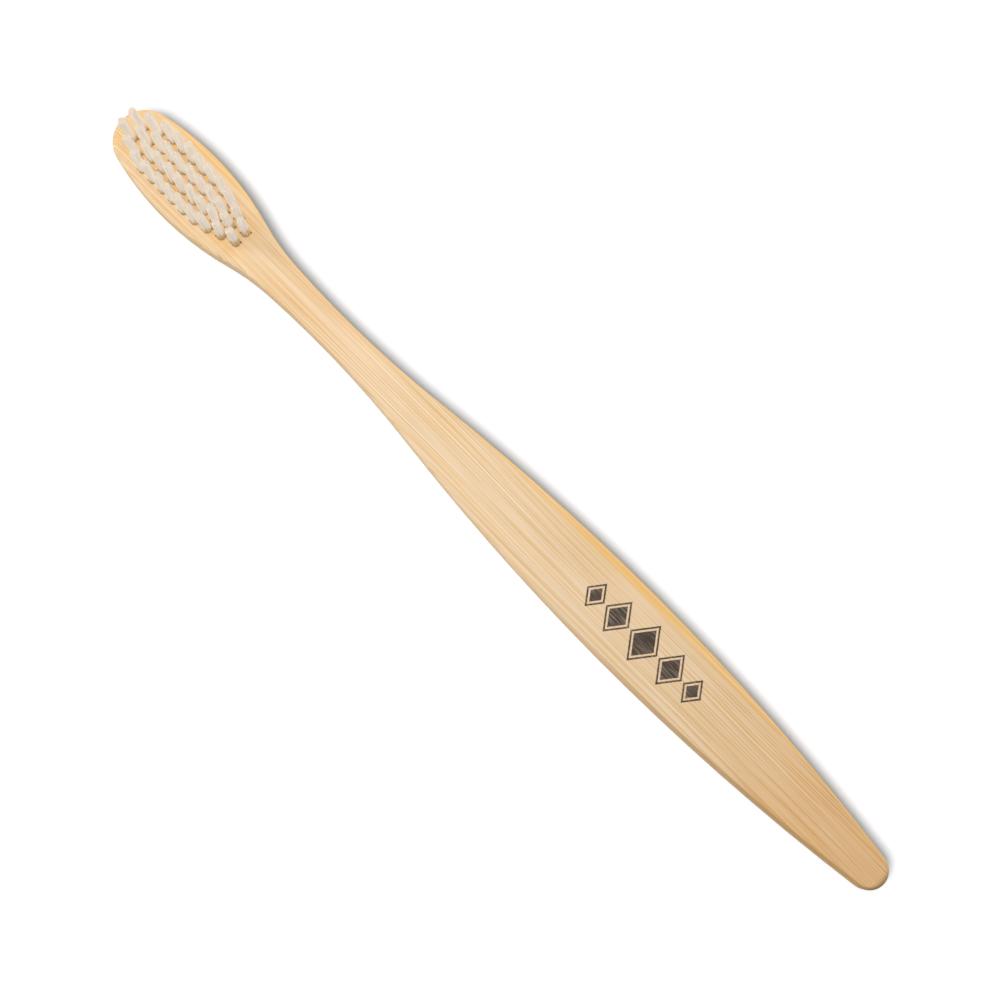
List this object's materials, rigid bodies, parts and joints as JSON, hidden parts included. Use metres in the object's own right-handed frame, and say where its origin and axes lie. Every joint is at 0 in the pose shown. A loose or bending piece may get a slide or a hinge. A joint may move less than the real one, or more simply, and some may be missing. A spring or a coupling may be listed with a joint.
{
  "type": "manual toothbrush",
  "caption": "Flat bamboo toothbrush with a leaf-shaped grip, a slim neck and an oval head of straight nylon tufts, each folded over an anchor plate in its own drilled hole.",
  "frame": {"origin": "middle of the length, on the flat back that the brush lies on", "axes": "+X along the length towards the head, +Z out of the front, the way the bristles point"},
  "size_m": [0.19, 0.0148, 0.0161],
  "materials": {
    "bamboo": "sanded pale bamboo with fine straight fibres along the length, lightly oiled",
    "bristle": "off-white nylon filaments, slightly translucent",
    "anchor_metal": "plain cut flat wire"
  },
  "bodies": {
    "root": {"handle": "bamboo", "tuft_anchors": "anchor_metal", "tuft_r01_1": "bristle", "tuft_r01_2": "bristle", "tuft_r02_1": "bristle", "tuft_r02_2": "bristle", "tuft_r02_3": "bristle", "tuft_r03_1": "bristle", "tuft_r03_2": "bristle", "tuft_r03_3": "bristle", "tuft_r03_4": "bristle", "tuft_r04_1": "bristle", "tuft_r04_2": "bristle", "tuft_r04_3": "bristle", "tuft_r04_4": "bristle", "tuft_r05_1": "bristle", "tuft_r05_2": "bristle", "tuft_r05_3": "bristle", "tuft_r05_4": "bristle", "tuft_r06_1": "bristle", "tuft_r06_2": "bristle", "tuft_r06_3": "bristle", "tuft_r06_4": "bristle", "tuft_r07_1": "bristle", "tuft_r07_2": "bristle", "tuft_r07_3": "bristle", "tuft_r07_4": "bristle", "tuft_r08_1": "bristle", "tuft_r08_2": "bristle", "tuft_r08_3": "bristle", "tuft_r08_4": "bristle", "tuft_r09_1": "bristle", "tuft_r09_2": "bristle", "tuft_r09_3": "bristle", "tuft_r09_4": "bristle", "tuft_r10_1": "bristle", "tuft_r10_2": "bristle", "tuft_r10_3": "bristle", "tuft_r11_1": "bristle", "tuft_r11_2": "bristle"}
  },
  "joints": []
}
